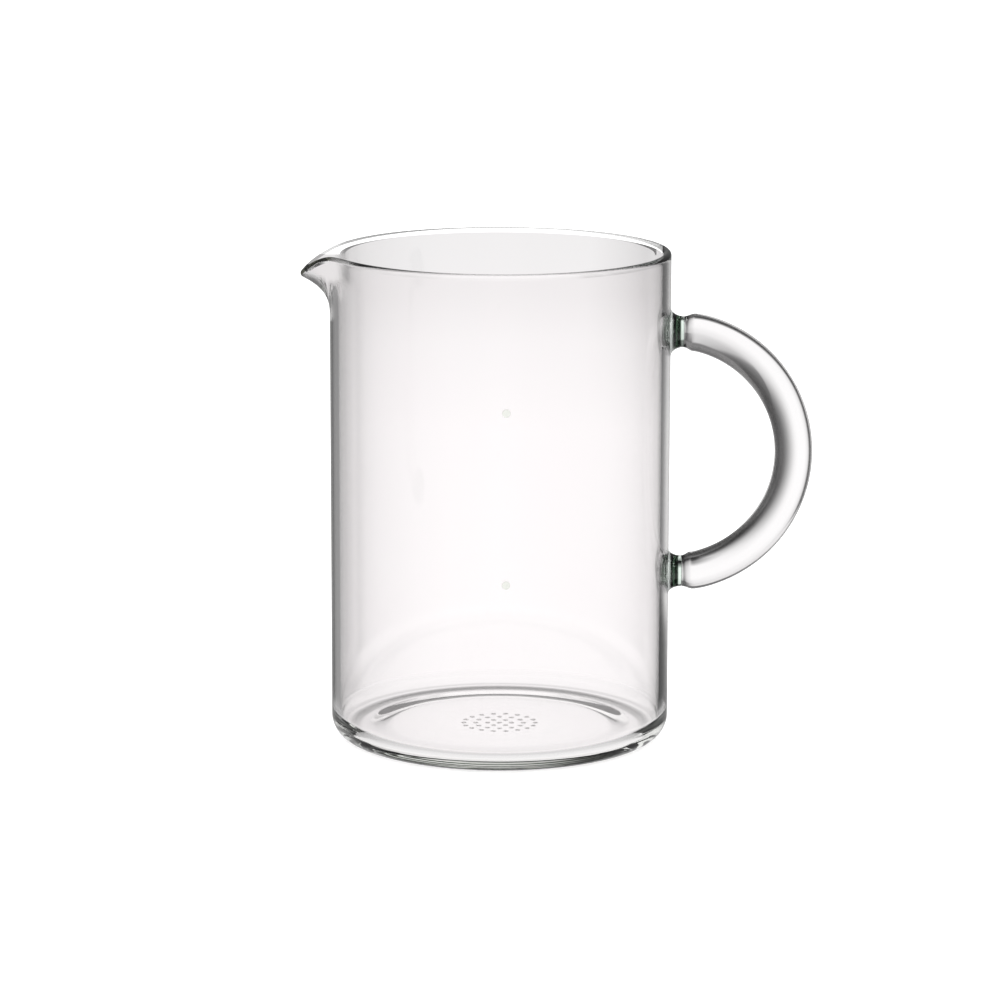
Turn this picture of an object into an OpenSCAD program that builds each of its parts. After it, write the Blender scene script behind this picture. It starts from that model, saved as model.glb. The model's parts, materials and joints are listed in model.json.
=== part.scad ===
// Coffee server: a blown glass vessel with a tooled pouring lip and a solid glass handle welded to its side.
// Millimetres. The origin is the centre of the foot, +Z is up, the handle is at +X and the lip at -X.

/* [Vessel] */
// Outside diameter of the straight body
body_d = 95; // [85:1:105]
// Height of the rim above the table
body_h = 138; // [130:1:160]
// Thickness of the blown wall
wall_t = 2.4; // [1.8:0.1:3]
// Thickness of the floor above the table
floor_t = 3.4; // [2.6:0.1:5]
// Radius of the outside corner between wall and base
corner_r = 6; // [4:0.5:9]
// Radius of the inside corner between wall and floor
hollow_corner_r = 5; // [3:0.5:9]
// Diameter of the shallow recess that leaves the foot ring standing
recess_d = 76; // [60:1:80]
// Depth of that recess
recess_depth = 0.9; // [0.4:0.1:1.4]
// Width of the slope between the foot ring and the roof of the recess
recess_slope_w = 8; // [3:0.5:12]

/* [Pouring lip] */
// How far the tip stands out from the wall
lip_reach = 8.1; // [5:0.1:11]
// How far the tip droops below the rim
lip_dip = 5.4; // [3:0.1:8]
// Height of the flare, from where it leaves the wall up to the rim
lip_h = 19; // [16:0.5:26]
// Lean of the glass at the tip, away from upright
lip_lean = 63; // [45:1:75]
// Angle either side of the tip where the lip is drawn out to half of its reach
beak_angle = 6; // [4:0.5:9]
// Angle either side of the tip where the lip droops by half of its dip
dip_angle = 4.6; // [3:0.2:7]
// Angle either side of the tip where the lip ends in the plain rim
lip_half_angle = 45; // [35:1:60]

/* [Handle] */
// Diameter of the glass rod
rod_d = 10.6; // [9:0.2:12]
// Radius of the bend, along the middle of the rod
bend_r = 34.7; // [28:0.1:38]
// Distance of the middle of the bend below the rim
handle_drop = 57; // [52:0.5:62]
// Diameter of the drawn neck where the rod meets a weld
neck_d = 8.7; // [8.2:0.1:9]
// Length of the shoulder between neck and full rod
shoulder_l = 2.7; // [1.5:0.1:4]

/* [Welds] */
// Diameter of the upper weld's foot on the wall
upper_weld_d = 13.8; // [12:0.1:14.4]
// Diameter of the lower weld's foot on the wall
lower_weld_d = 12.7; // [12:0.1:14.4]
// Distance from the wall to the neck of the handle
weld_l = 3.6; // [3.5:0.1:6]
// Height of the foot's edge above the wall before it sweeps in to the neck
weld_foot_t = 0.5; // [0.3:0.1:0.6]

/* [Level marks] */
// Diameter of a printed level mark
mark_d = 2.3; // [1.5:0.1:4]
// Thickness of the printed enamel
enamel_t = 0.15; // [0.1:0.05:0.3]
// Distance of the upper level mark below the rim
upper_level_drop = 37.5; // [30:0.5:45]
// Distance between the two level marks
level_step = 47.3; // [30:0.1:55]
// Turn of both marks from the middle of the front towards the handle
mark_turn = 2; // [0:0.5:20]

/* [Base mark] */
// Diameter of a dot in the plain pattern printed under the base
dot_d = 1.5; // [0.8:0.1:2]
// Distance between neighbouring rings of dots
dot_pitch = 3.4; // [2.5:0.1:4]
// Number of rings around the middle dot
dot_rings = 3; // [1:1:4]

/* [Hidden] */
$fn = 120;

// One overrun for every cut
cut_over = 2;

body_r = body_d / 2;
hollow_r = body_r - wall_t;
recess_r = recess_d / 2;
rod_r = rod_d / 2;
neck_r = neck_d / 2;
neck_x = body_r + weld_l;
// Height of a neck above or below the middle of the bend: that of the rod where its shoulder ends
neck_rise = sqrt(pow(bend_r, 2) - pow(weld_l + shoulder_l, 2));

// The top of the vessel is lofted through vertical sections, closest together at the lip
lip_half_sections = 56;
lip_levels = 5;
rim_steps = 6;
// The flare leaves the wall as this power of the height
flare_power = 3;
// The share of an even spacing that is left at the tip
tip_spacing_share = 0.5;
// Step of the lofted top inside both faces of the wall that it stands in
seam = 0.02;
// How far the lofted top reaches down into that wall
root_h = 0.2;
flare_z = body_h - lip_h;
handle_z = body_h - handle_drop;
upper_level = body_h - upper_level_drop;
lower_level = upper_level - level_step;

glass = [0.86, 0.91, 0.9, 0.35];
rod_glass = [0.8, 0.85, 0.84, 0.6];
weld_glass = [0.45, 0.55, 0.5, 0.7];
enamel = [0.93, 0.94, 0.92];

// How strongly a section at an angle from the tip is drawn out: 1 at the tip and 0 from the lip's end on
function bell(angle, half) = 1 / (1 + pow(angle / half, 2));
function pull(angle, half) =
    let (end = bell(lip_half_angle, half))
    max(0, bell(angle, half) - end) / (1 - end);

// Angle of section number s from the tip
function section_angle(s) =
    let (share = s / lip_half_sections)
    180 * (tip_spacing_share * share + (1 - tip_spacing_share) * pow(share, 3));
widest_step = section_angle(lip_half_sections) - section_angle(lip_half_sections - 1);
// The loft's flat faces stay clear of the round bore below them
top_hollow_r = (hollow_r + seam) / cos(widest_step / 2);
rim_r = (body_r - top_hollow_r) / 2;

// A face of the wall as a list of [distance from the axis, height], from its foot up to its edge
function flare_curve(foot_r, edge) = [
    for (level = [0:lip_levels - 1])
        let (share = level / lip_levels)
        [
            foot_r + (edge[0] - foot_r) * pow(share, flare_power),
            flare_z - root_h + (edge[1] - flare_z + root_h) * share
        ]
];

// The rounded edge, from the outside over to the inside
function rim_curve(middle, lean) = [
    for (i = [0:rim_steps])
        let (turn = 180 * i / rim_steps - lean)
        middle + rim_r * [cos(turn), sin(turn)]
];

// Outline of the glass in the section at an angle from the tip
function top_outline(angle) =
    let (
        lean = lip_lean * pull(angle, beak_angle),
        middle = [
            body_r - rim_r + lip_reach * pull(angle, beak_angle),
            body_h - rim_r - lip_dip * pull(angle, dip_angle)
        ],
        rim = rim_curve(middle, lean),
        inner = flare_curve(top_hollow_r, rim[rim_steps])
    )
    concat(
        flare_curve(body_r - seam, rim[0]),
        rim,
        [for (i = [1:lip_levels]) inner[lip_levels - i]]
    );

// The top of the vessel, from the foot of the flare to the rim, all the way round
module lofted_top() {
    outlines = [
        for (s = [1 - lip_half_sections:lip_half_sections])
            [for (p = top_outline(abs(section_angle(s)))) [section_angle(s), p[0], p[1]]]
    ];
    count = len(outlines);
    size = len(outlines[0]);
    points = [for (o = outlines, p = o) [-p[1] * cos(p[0]), p[1] * sin(p[0]), p[2]]];
    faces = [
        for (s = [0:count - 1], i = [0:size - 1])
            let (
                a = s * size + i,
                b = s * size + (i + 1) % size,
                c = ((s + 1) % count) * size + i,
                d = ((s + 1) % count) * size + (i + 1) % size
            )
            each [[a, c, b], [b, c, d]]
    ];
    polyhedron(points, faces, convexity = 6);
}

// Half section with a square top and a round corner at the bottom, around the axis
module cup_outline(r, h, corner) {
    translate([0, corner]) square([r, h - corner]);
    square([r - corner, h]);
    translate([r - corner, corner]) circle(corner);
}

// Half section of the recess under the base
module recess_outline() {
    polygon([
        [0, -cut_over],
        [recess_r, -cut_over],
        [recess_r, 0],
        [recess_r - recess_slope_w, recess_depth],
        [0, recess_depth]
    ]);
}

// Half section of the blown body, up to the foot of the flare
module body_outline() {
    difference() {
        cup_outline(body_r, flare_z, corner_r);
        translate([0, floor_t]) cup_outline(hollow_r, body_h, hollow_corner_r);
        recess_outline();
    }
}

module vessel() {
    color(glass) {
        rotate_extrude() body_outline();
        lofted_top();
    }
}

// Places what is drawn along +Z at a neck, pointing away from the wall
module at_neck(side) {
    translate([neck_x, 0, handle_z + side * neck_rise]) rotate([0, 90, 0]) children();
}

// Ring with a conical hole that trims the end of the rod down to its neck
module shoulder_cut() {
    far_r = rod_r + cut_over;
    slope = (rod_r - neck_r) / shoulder_l;
    rotate_extrude()
        polygon([
            [neck_r - slope * cut_over, -cut_over],
            [far_r, -cut_over],
            [far_r, (far_r - neck_r) / slope]
        ]);
}

// The rod bent to half a circle around the middle of the bend, from wall to wall
module bent_rod() {
    translate([body_r, 0, handle_z])
        rotate([90, 0, 0])
            rotate([0, 0, -90])
                rotate_extrude(angle = 180) translate([bend_r, 0]) circle(rod_r);
}

module handle() {
    color(rod_glass)
    difference() {
        bent_rod();
        translate([0, -body_r, 0]) cube([neck_x, body_d, body_h]);
        for (side = [-1, 1]) at_neck(side) shoulder_cut();
    }
}

// Half section of a weld, from the neck at the bottom up into the wall
module weld_outline(foot_r) {
    sweep_r = foot_r - neck_r;
    land = weld_l - weld_foot_t - sweep_r;
    difference() {
        square([foot_r, weld_l + cut_over]);
        translate([neck_r, -cut_over]) square([foot_r, land + cut_over]);
        translate([foot_r, land]) circle(sweep_r);
    }
}

// A weld sweeps from a round foot on the wall in to the neck of the handle
module weld(side, foot_d) {
    difference() {
        at_neck(side) mirror([0, 0, 1]) rotate_extrude() weld_outline(foot_d / 2);
        cylinder(r = body_r, h = body_h);
    }
}

module upper_weld() {
    color(weld_glass) weld(1, upper_weld_d);
}

module lower_weld() {
    color(weld_glass) weld(-1, lower_weld_d);
}

// A round patch of enamel that follows the outside of the wall
module level_mark(level) {
    color(enamel)
    difference() {
        intersection() {
            rotate([0, 0, mark_turn])
                translate([0, 0, level])
                    rotate([90, 0, 0])
                        cylinder(d = mark_d, h = body_r + cut_over);
            cylinder(r = body_r + enamel_t, h = body_h);
        }
        cylinder(r = body_r, h = body_h);
    }
}

module upper_level_mark() {
    level_mark(upper_level);
}

module lower_level_mark() {
    level_mark(lower_level);
}

// Rings of plain dots on the roof of the recess under the base
module base_mark() {
    color(enamel)
    translate([0, 0, recess_depth - enamel_t]) {
        cylinder(d = dot_d, h = enamel_t);
        for (ring = [1:dot_rings], i = [0:6 * ring - 1])
            rotate([0, 0, 60 * i / ring])
                translate([ring * dot_pitch, 0, 0])
                    cylinder(d = dot_d, h = enamel_t);
    }
}

vessel();
handle();
upper_weld();
lower_weld();
upper_level_mark();
lower_level_mark();
base_mark();
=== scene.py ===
import json
import math
from functools import partialmethod
from types import SimpleNamespace

import bmesh
import bpy
from bpy.props import FloatProperty, FloatVectorProperty, IntProperty, PointerProperty
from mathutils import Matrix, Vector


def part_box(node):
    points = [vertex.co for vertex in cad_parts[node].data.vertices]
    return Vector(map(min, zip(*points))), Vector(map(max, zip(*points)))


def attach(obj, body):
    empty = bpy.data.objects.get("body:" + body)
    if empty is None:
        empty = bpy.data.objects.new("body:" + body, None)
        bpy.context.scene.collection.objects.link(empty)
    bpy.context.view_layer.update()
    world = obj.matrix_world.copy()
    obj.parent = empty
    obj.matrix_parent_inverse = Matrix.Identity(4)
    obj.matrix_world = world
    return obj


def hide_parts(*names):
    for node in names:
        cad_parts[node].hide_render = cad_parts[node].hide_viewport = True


bl_info = {
    "name": "Glass coffee server",
    "version": (1, 0, 0),
    "blender": (4, 5, 0),
    "location": "3D View > Sidebar > Server",
    "description": "Dresses a coffee server of clear glass: vessel, handle, welds, level marks and base dots",
    "category": "Object",
}

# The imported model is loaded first, because the sizes below come from it.
# Lengths are metres. The middle of the foot is the origin, +Z is up, the handle is at +X and the lip at -X.
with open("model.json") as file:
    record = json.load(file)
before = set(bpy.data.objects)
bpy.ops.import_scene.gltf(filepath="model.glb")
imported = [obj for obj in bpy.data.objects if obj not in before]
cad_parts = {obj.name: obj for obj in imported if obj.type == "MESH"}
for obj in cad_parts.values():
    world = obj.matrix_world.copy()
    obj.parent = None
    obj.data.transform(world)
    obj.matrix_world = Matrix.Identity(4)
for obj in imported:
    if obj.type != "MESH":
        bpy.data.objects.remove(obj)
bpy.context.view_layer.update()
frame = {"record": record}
MM = 0.001

VESSEL_LOW, VESSEL_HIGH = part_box("vessel")
HANDLE_LOW, HANDLE_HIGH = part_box("handle")
UPPER_WELD_LOW, UPPER_WELD_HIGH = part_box("upper_weld")
LOWER_WELD_LOW, LOWER_WELD_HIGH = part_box("lower_weld")
BASE_MARK_LOW, BASE_MARK_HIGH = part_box("base_mark")
MOUTH = next(m for m in frame["record"]["mounts"] if m["name"] == "mouth")

BODY_R = VESSEL_HIGH.y
BODY_H = VESSEL_HIGH.z
HOLLOW_R = MOUTH["dims"]["r_mm"] * MM
LIP_REACH = -VESSEL_LOW.x - BODY_R
ROD_R = HANDLE_HIGH.y
BEND_R = HANDLE_HIGH.x - ROD_R - BODY_R
BEND_Z = (HANDLE_LOW.z + HANDLE_HIGH.z) / 2
NECK_X = HANDLE_LOW.x
RECESS_DEPTH = BASE_MARK_HIGH.z
DOT_THICKNESS = BASE_MARK_HIGH.z - BASE_MARK_LOW.z

# Where the front is looked at from: distance from the axis, level, and height above the table
FRONT_DISTANCE, FRONT_HEIGHT = 1.1583, 0.3045


def round_patch(low, high):
    """The height of the middle and the radius of what is round on the wall"""
    return (low.z + high.z) / 2, (high.z - low.z) / 2


def number(name, description, default, least=0.0, **kind):
    return FloatProperty(name=name, description=description, default=default, min=least, **kind)


def length(name, description, default, least=0.0):
    return number(name, description, default, least, unit="LENGTH")


def angle(name, description, degrees, least=0.0):
    return number(name, description, math.radians(degrees), least, subtype="ANGLE")


def colour(name, description, default):
    return FloatVectorProperty(
        name=name, description=description, default=default, subtype="COLOR", min=0.0, max=1.0)


class VesselSizes(bpy.types.PropertyGroup):
    """The blown vessel and its pouring lip"""
    radius: length("Radius", "Outside radius of the straight body", BODY_R, 0.03)
    height: length("Height", "Height of the rim above the table", BODY_H, 0.05)
    hollow_radius: length("Hollow radius", "Inside radius of the straight body", HOLLOW_R, 0.02)
    floor: length("Floor", "Height of the inside floor above the table", 3.4 * MM, 0.001)
    corner: length("Corner", "Radius of the outside corner at the base", 6 * MM, 0.001)
    hollow_corner: length("Hollow corner", "Radius of the inside corner at the floor", 5 * MM, 0.001)
    recess_radius: length("Recess", "Radius of the recess inside the foot ring", 38 * MM, 0.01)
    recess_slope: length("Recess slope", "Width of the slope up from the foot ring", 8 * MM, 0.001)
    ripple_radius: length("Ripple radius", "Radius of the soft ring in the inside floor", 14.6 * MM, 0.001)
    ripple_width: length("Ripple width", "Half width of the soft ring", 4.5 * MM, 0.001)
    ripple_height: length("Ripple height", "Height of the soft ring", 0.08 * MM)
    lip_reach: length("Lip reach", "How far the tip stands out from the wall", LIP_REACH, 0.001)
    lip_dip: length("Lip dip", "How far the tip droops below the rim", 5.4 * MM)
    lip_height: length("Lip height", "Height of the flare below the rim", 19 * MM, 0.005)
    lip_lean: angle("Lip lean", "Lean of the glass at the tip, away from upright", 63)
    beak_angle: angle("Beak angle", "Angle from the tip where half the reach is left", 6, 0.01)
    dip_angle: angle("Dip angle", "Angle from the tip where half the dip is left", 4.6, 0.01)
    lip_end: angle("Lip end", "Angle from the tip where the plain rim starts", 45, 0.1)
    sections: IntProperty(
        name="Sections", description="Vertical sections around the vessel", default=320, min=48)


class HandleSizes(bpy.types.PropertyGroup):
    """The bent rod and the welds that hold it"""
    rod_radius: length("Rod radius", "Radius of the glass rod", ROD_R, 0.002)
    bend_radius: length("Bend radius", "Radius of the bend along the rod's middle", BEND_R, 0.01)
    bend_height: length("Bend height", "Height of the middle of the bend", BEND_Z)
    neck_radius: length("Neck radius", "Radius where the rod meets a weld", 4.35 * MM, 0.001)
    neck_distance: length("Neck distance", "Distance from the wall to the neck", NECK_X - BODY_R, 0.001)
    neck_rise: length("Neck rise", "Height of a neck above the middle of the bend", 34.12 * MM, 0.001)
    shoulder: length("Shoulder", "Length of the shoulder between neck and full rod", 3 * MM, 0.001)
    seam: length("Seam", "Hair's breadth between two pieces fused to each other", 0.02 * MM)


class MarkSizes(bpy.types.PropertyGroup):
    """The printed enamel marks"""
    dot_radius: length("Dot radius", "Radius of a dot under the base", 0.75 * MM, 0.0002)
    dot_pitch: length("Dot pitch", "Distance between rings of dots", 3.4 * MM, 0.001)
    dot_rings: IntProperty(
        name="Dot rings", description="Rings of dots around the middle one", default=3, min=1)


class ServerFinish(bpy.types.PropertyGroup):
    """Colours and clearness of the glass and the enamel"""
    ior: number("IOR", "Refractive index of the glass", 1.47, 1.0)
    tint: colour("Tint", "What is left of white light deep in the vessel's glass", (0.50, 0.58, 0.46))
    tint_density: number("Tint density", "How soon the vessel's tint shows, per metre", 5.0)
    rod_tint: colour("Rod tint", "What is left of white light deep in the rod", (0.45, 0.55, 0.50))
    rod_density: number("Rod density", "How soon the rod's tint shows, per metre", 4.0)
    weld_tint: colour("Weld tint", "What is left of white light deep in a weld", (0.10, 0.45, 0.22))
    weld_density: number("Weld density", "How soon a weld's tint shows, per metre", 20.0)
    enamel: colour("Enamel", "Colour of the level marks", (0.65, 0.66, 0.62))
    base_tone: number("Base tone", "How light the base dots are beside the level marks", 0.71, max=1.0)


class StudioSizes(bpy.types.PropertyGroup):
    """Camera, floor and light"""
    camera_distance: length("Camera distance", "From the axis of the vessel, level", FRONT_DISTANCE, 0.1)
    camera_height: length("Camera height", "Above the table", FRONT_HEIGHT)
    camera_pitch: angle("Camera pitch", "Downward tilt of the view", 11.582, -math.pi)
    camera_roll: angle("Camera roll", "Small turn about the line of sight", 0.121, -math.pi)
    camera_lens: number("Lens", "Focal length on a 36 mm sensor, in millimetres", 151.5, 10.0)
    floor_tone: number("Floor tone", "How much light the floor gives back", 0.8, max=1.0)
    floor_glow: number("Floor glow", "Light of its own that keeps the floor pale near the glass", 0.4)
    floor_light: number("Floor light", "Strength of the even light on the floor", 1.42)
    card_light: number("Card light", "Strength of the card behind the server", 1.05)
    card_distance: length("Card distance", "From the axis of the vessel to the card", 142 * MM)
    shade_distance: length("Shade distance", "From the axis to the shade by the handle", 30 * MM)
    shade_height: length("Shade height", "Height of the middle of the shade", 77.8 * MM)


class Tree:
    """Adds nodes to a node tree and links them"""

    def __init__(self, tree):
        self.tree = tree

    def add(self, kind, inputs=None, **settings):
        node = self.tree.nodes.new(kind)
        for key, value in settings.items():
            setattr(node, key, value)
        for key, value in (inputs or {}).items():
            self.feed(node.inputs[key], value)
        return node

    def feed(self, socket, value):
        if isinstance(value, bpy.types.NodeSocket):
            self.tree.links.new(value, socket)
        else:
            socket.default_value = value

    def out(self, kind, inputs=None, **settings):
        """The first output of a new node"""
        return self.add(kind, inputs, **settings).outputs[0]

    def calc(self, operation, *values):
        return self.out("ShaderNodeMath", dict(enumerate(values)), operation=operation)

    def fold(self, operation, first, *others):
        """Takes the values together from left to right"""
        for other in others:
            first = self.calc(operation, first, other)
        return first

    plus = partialmethod(fold, "ADD")
    minus = partialmethod(fold, "SUBTRACT")
    times = partialmethod(fold, "MULTIPLY")
    over = partialmethod(fold, "DIVIDE")
    least = partialmethod(fold, "MINIMUM")
    most = partialmethod(fold, "MAXIMUM")
    is_less = partialmethod(fold, "LESS_THAN")
    is_more = partialmethod(fold, "GREATER_THAN")
    times_plus = partialmethod(calc, "MULTIPLY_ADD")

    def distance(self, a, b):
        """The distance from the middle in the plane of two coordinates"""
        return self.calc("SQRT", self.plus(self.times(a, a), self.times(b, b)))

    def between(self, value, start, end, low=0.0, high=1.0):
        """Goes from low to high while a value goes from start to end"""
        return self.out("ShaderNodeMapRange", {
            "Value": value, "From Min": start, "From Max": end, "To Min": low, "To Max": high,
        })

    def along(self, place, stops):
        """Values between stops of (place, value)"""
        start, end = stops[0][0], stops[-1][0]
        ramp = self.add("ShaderNodeValToRGB", {0: self.over(self.minus(place, start), end - start)})
        elements = ramp.color_ramp.elements
        while len(elements) < len(stops):
            elements.new(1.0)
        for element, (at, value) in zip(elements, stops):
            element.position = (at - start) / (end - start)
            element.color = (value, value, value, 1.0)
        return ramp.outputs["Color"]

    def along_deep(self, place, stops):
        """The same for values above 1"""
        most = max(value for _, value in stops)
        return self.times(self.along(place, [(at, value / most) for at, value in stops]), most)

    def mix(self, share, first, second):
        return self.out("ShaderNodeMix", {"Factor": share, "A": first, "B": second})

    def blend(self, share, first, second):
        """A colour on the way from the first to the second"""
        return self.out("ShaderNodeMixRGB", {"Fac": share, "Color1": first, "Color2": second})

    def noise(self, place, scale, detail):
        return self.out("ShaderNodeTexNoise", {"Vector": place, "Scale": scale, "Detail": detail})

    def bump(self, height, strength, distance):
        return self.out("ShaderNodeBump", {"Height": height, "Strength": strength, "Distance": distance})

    def place(self):
        return self.add("ShaderNodeTexCoord").outputs["Object"]

    def split(self, place):
        """The three coordinates of a place"""
        return self.add("ShaderNodeSeparateXYZ", {0: place}).outputs

    def surface(self, shader, **more):
        self.add("ShaderNodeOutputMaterial", {"Surface": shader, **more})


def bare_tree(owner):
    """The emptied node tree of a material or a world"""
    owner.use_nodes = True
    owner.node_tree.nodes.clear()
    return Tree(owner.node_tree)


def bare_material(name):
    material = bpy.data.materials.new(name)
    return material, bare_tree(material)


def link(name, data):
    piece = bpy.data.objects.new(name, data)
    bpy.context.scene.collection.objects.link(piece)
    return piece


def closed_shell(name, start, rings, end, material):
    """A closed smooth mesh through rings of equal length, with one point at either end"""
    count = len(rings[0])
    points = [start] + [p for ring in rings for p in ring] + [end]
    faces = []
    for i in range(count):
        j = (i + 1) % count
        faces.append((0, 1 + j, 1 + i))
        for k in range(len(rings) - 1):
            low = 1 + k * count
            high = low + count
            faces.append((low + i, low + j, high + j, high + i))
        last = 1 + (len(rings) - 1) * count
        faces.append((last + i, last + j, len(points) - 1))
    mesh = bpy.data.meshes.new(name)
    mesh.from_pydata(points, [], faces)
    finish_mesh(mesh, material)
    return link(name, mesh)


def finish_mesh(mesh, material):
    """Turns the faces outwards, shades them smooth and gives them their material"""
    shape = bmesh.new()
    shape.from_mesh(mesh)
    bmesh.ops.recalc_face_normals(shape, faces=shape.faces)
    shape.to_mesh(mesh)
    shape.free()
    mesh.shade_smooth()
    mesh.materials.clear()
    mesh.materials.append(material)


def smooth_step(share):
    return share * share * (3 - 2 * share)


def arc(middle, radius, start, end, steps):
    """Points on an arc in a half section, given in degrees from level"""
    turns = [math.radians(start + (end - start) * i / steps) for i in range(steps + 1)]
    return [(middle[0] + radius * math.cos(t), middle[1] + radius * math.sin(t)) for t in turns]


def straight(start, end, steps):
    """Points between two ends, without the ends"""
    shares = [i / steps for i in range(1, steps)]
    return [tuple(a + (b - a) * s for a, b in zip(start, end)) for s in shares]


# Steps in the sections of the vessel
RIM_STEPS = 16
FLARE_STEPS = 18
WALL_STEPS = 20
CORNER_STEPS = 16
SLOPE_STEPS = 16
FLOOR_STEPS = 36
# The sections lie closest together at the tip: their even share of the way round, and the share that grows
EVEN_SPACING, GROWING_SPACING = 0.55, 0.45


def pull(turn, half, end):
    """How strongly the lip is drawn out at an angle from the tip: 1 at the tip, 0 from its end on"""
    rest = 1 / (1 + (end / half) ** 2)
    bell = 1 / (1 + (turn / half) ** 2)
    return max(0.0, bell - rest) / (1 - rest)


def underside(s):
    """Half section of the recess and the foot ring, from the middle outwards"""
    roof = s.recess_radius - s.recess_slope
    points = [(roof * i / SLOPE_STEPS, RECESS_DEPTH) for i in range(1, SLOPE_STEPS)]
    for i in range(SLOPE_STEPS + 1):
        share = i / SLOPE_STEPS
        points.append((roof + s.recess_slope * share, RECESS_DEPTH * (1 - smooth_step(share))))
    return points


def inside_floor(s):
    """Half section of the inside floor with its soft ring, from the corner to the middle"""
    edge = s.hollow_radius - s.hollow_corner
    points = []
    for i in range(1, FLOOR_STEPS):
        r = edge * (1 - i / FLOOR_STEPS)
        swell = math.exp(-((r - s.ripple_radius) / s.ripple_width) ** 2)
        points.append((r, s.floor + s.ripple_height * swell))
    return points


def flare(foot, edge):
    """Points of a wall that leaves upright at its foot and reaches its edge, as (radius, height)"""
    points = []
    for i in range(FLARE_STEPS):
        share = i / FLARE_STEPS
        points.append((foot[0] + (edge[0] - foot[0]) * share ** 3, foot[1] + (edge[1] - foot[1]) * share))
    return points


def vessel_section(turn, s):
    """Half section of the glass at an angle from the tip, from under the base over the rim to the floor"""
    rim_r = (s.radius - s.hollow_radius) / 2
    drawn = pull(turn, s.beak_angle, s.lip_end)
    drooped = pull(turn, s.dip_angle, s.lip_end)
    lean = math.degrees(s.lip_lean) * drawn
    middle = (s.radius - rim_r + s.lip_reach * drawn, s.height - rim_r - s.lip_dip * drooped)
    rim = arc(middle, rim_r, -lean, 180 - lean, RIM_STEPS)
    outer_corner = arc((s.radius - s.corner, s.corner), s.corner, -90, 0, CORNER_STEPS)
    inner_middle = (s.hollow_radius - s.hollow_corner, s.floor + s.hollow_corner)
    inner_corner = arc(inner_middle, s.hollow_corner, 0, -90, CORNER_STEPS)
    flare_z = s.height - s.lip_height
    outer_flare = flare((s.radius, flare_z), rim[0])
    inner_flare = flare((s.hollow_radius, flare_z), rim[-1])
    outer_wall = straight(outer_corner[-1], outer_flare[0], WALL_STEPS)
    inner_wall = straight(inner_flare[0], inner_corner[0], WALL_STEPS)
    outside = underside(s) + outer_corner + outer_wall + outer_flare
    return outside + rim + inner_flare[::-1] + inner_wall + inner_corner + inside_floor(s)


def vessel_piece(s, material):
    shares = [i / (s.sections / 2) - 1 for i in range(s.sections)]
    turns = [math.pi * (EVEN_SPACING * share + GROWING_SPACING * share ** 3) for share in shares]
    sections = [vessel_section(abs(turn), s) for turn in turns]
    rings = [
        [(-r * math.cos(turn), r * math.sin(turn), z) for turn, (r, z) in zip(turns, ring)]
        for ring in zip(*sections)
    ]
    return closed_shell("vessel_glass", (0, 0, RECESS_DEPTH), rings, (0, 0, s.floor), material)


# Points around a weld, and steps across its foot, along its sweep and across its end
WELD_AROUND = 96
FOOT_STEPS, SWEEP_STEPS, END_STEPS = 12, 24, 4


def weld_piece(name, low, high, s, material):
    """A weld sweeps from a round foot on the wall in to the neck of the handle"""
    z, foot_r = round_patch(low, high)
    wall_r = BODY_R + s.seam

    def ring(share, radius):
        """A ring around the weld, at a share of the way from the wall to the neck"""
        points = []
        for i in range(WELD_AROUND):
            turn = 2 * math.pi * i / WELD_AROUND
            y = radius * math.cos(turn)
            wall_x = math.sqrt(wall_r ** 2 - y ** 2)
            points.append((wall_x + (NECK_X - wall_x) * share, y, z + radius * math.sin(turn)))
        return points

    rings = [ring(0.0, foot_r * i / FOOT_STEPS) for i in range(1, FOOT_STEPS + 1)]
    for i in range(1, SWEEP_STEPS + 1):
        turn = i / SWEEP_STEPS * math.pi / 2
        radius = s.neck_radius + (foot_r - s.neck_radius) * (1 - math.sin(turn))
        rings.append(ring(1 - math.cos(turn), radius))
    rings += [ring(1.0, s.neck_radius * (1 - i / END_STEPS)) for i in range(1, END_STEPS)]
    return closed_shell(name, (wall_r, 0, z), rings, (NECK_X, 0, z), material)


# Points around a level mark, the places of its rings from the middle to the edge, and its share of the
# printed thickness
MARK_AROUND = 48
MARK_RINGS = (0.25, 0.5, 0.75, 0.88, 0.96, 1.0)
MARK_HEIGHT = 0.98


def level_mark_piece(name, low, high, material):
    """A round patch of enamel with a soft edge, which follows the outside of the wall"""
    z, radius = round_patch(low, high)
    thickness = MARK_HEIGHT * DOT_THICKNESS
    turn = math.asin((low.x + high.x) / 2 / BODY_R)

    def place(share, rise, i):
        step = 2 * math.pi * i / MARK_AROUND
        across = turn + share * radius * math.cos(step) / BODY_R
        r = BODY_R + rise
        return (r * math.sin(across), -r * math.cos(across), z + share * radius * math.sin(step))

    def ring(share, rise):
        return [place(share, rise, i) for i in range(MARK_AROUND)]

    back = [ring(share, 0.0) for share in MARK_RINGS]
    front = [ring(share, thickness * math.sqrt(1 - share ** 4)) for share in MARK_RINGS[-2::-1]]
    return closed_shell(name, place(0, 0.0, 0), back + front, place(0, thickness, 0), material)


SOCKET_KINDS = {float: "NodeSocketFloat", int: "NodeSocketInt", bpy.types.Material: "NodeSocketMaterial"}


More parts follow.
